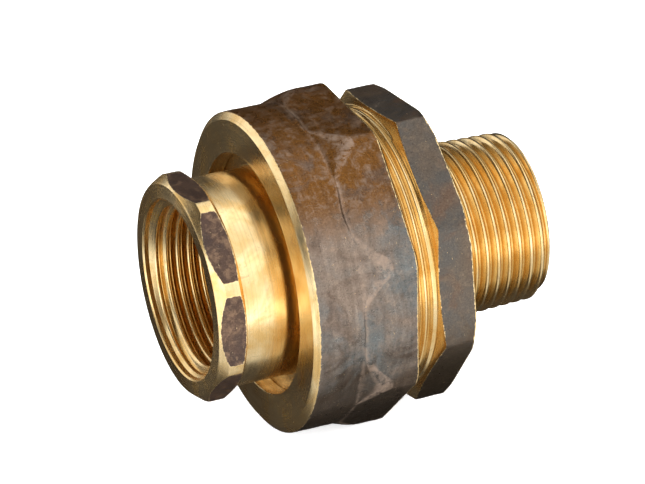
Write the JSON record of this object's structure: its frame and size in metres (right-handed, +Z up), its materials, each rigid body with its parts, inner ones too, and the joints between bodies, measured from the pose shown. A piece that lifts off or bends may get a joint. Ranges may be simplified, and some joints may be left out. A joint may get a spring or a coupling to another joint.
{
  "type": "pipe union",
  "caption": "Brass pipe union, female by male: octagonal tail piece with a female pipe thread, a captive nut that screws up to the joint, and a body with a male taper thread.",
  "frame": {"origin": "centre of the male thread's end face, on the axis of the pipe", "axes": "+X along the pipe, out of the male end; the female port is at the -X end; +Z up, as the union lies on its nut"},
  "size_m": [0.0697, 0.0616, 0.0616],
  "materials": {
    "body_brass": "dark forged skin on the octagon, bright turned threads",
    "nut_brass": "brown and blue-grey forged skin, bright turned face",
    "tail_brass": "bright turned barrel and chamfers, dark forged flats",
    "seal_rubber": "matt black nitrile rubber"
  },
  "bodies": {
    "male_body": {"male_body": "body_brass"},
    "sealing_ring": {"sealing_ring": "seal_rubber"},
    "female_tail": {"female_tail": "tail_brass"},
    "union_nut": {"union_nut": "nut_brass"}
  },
  "joints": [
    {"name": "halves_part", "type": "slide", "parent": "male_body", "child": "sealing_ring", "axis": [-1, 0, 0], "range_m": [0, 0.01112]},
    {"name": "nut_turn", "type": "hinge", "parent": "sealing_ring", "child": "union_nut", "pos_m": [-0.0475, 0, 0], "axis": [-1, 0, 0], "range_deg": [0, 2520]},
    {"name": "tail_swivel", "type": "hinge", "parent": "sealing_ring", "child": "female_tail", "pos_m": [-0.0475, 0, 0], "axis": [-1, 0, 0], "continuous": true}
  ],
  "couplings": [
    {"joint": "halves_part", "follows": "nut_turn", "m_per_rad": 0.00025266}
  ]
}
